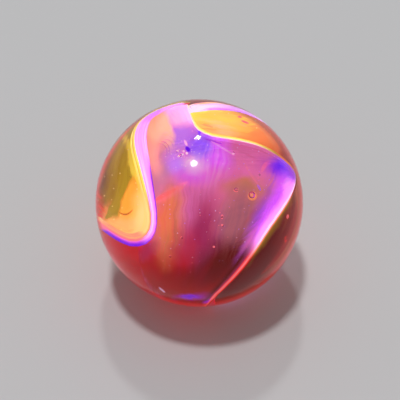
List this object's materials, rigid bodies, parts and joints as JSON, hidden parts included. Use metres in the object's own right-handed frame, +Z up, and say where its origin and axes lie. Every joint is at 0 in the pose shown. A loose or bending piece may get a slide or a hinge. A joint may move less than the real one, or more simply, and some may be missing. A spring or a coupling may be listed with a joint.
{
  "type": "glass marble",
  "caption": "Ball of see-through amber-red glass with three folded sheets of milky white and yellow glass that reach the surface as swirled bands",
  "frame": {"origin": "the centre of the ball", "axes": "+Z is up; the swirl's upper pole leans from +Z towards -Y, and a little towards -X; +X is to the right of someone who looks along +Y"},
  "size_m": [0.025, 0.025, 0.025],
  "materials": {
    "base_glass": "polished see-through amber-red glass",
    "left_ribbon": "milky white glass, glowing pink to violet",
    "left_lining": "milky yellow glass, orange where it lies deep",
    "right_ribbon": "milky white glass, glowing violet",
    "right_lining": "milky yellow glass",
    "back_ribbon": "milky white glass, glowing violet",
    "back_lining": "milky yellow glass, orange where it lies deep"
  },
  "bodies": {
    "root": {"base_glass": "base_glass", "left_ribbon": "left_ribbon", "left_lining": "left_lining", "right_ribbon": "right_ribbon", "right_lining": "right_lining", "back_ribbon": "back_ribbon", "back_lining": "back_lining"}
  },
  "joints": []
}
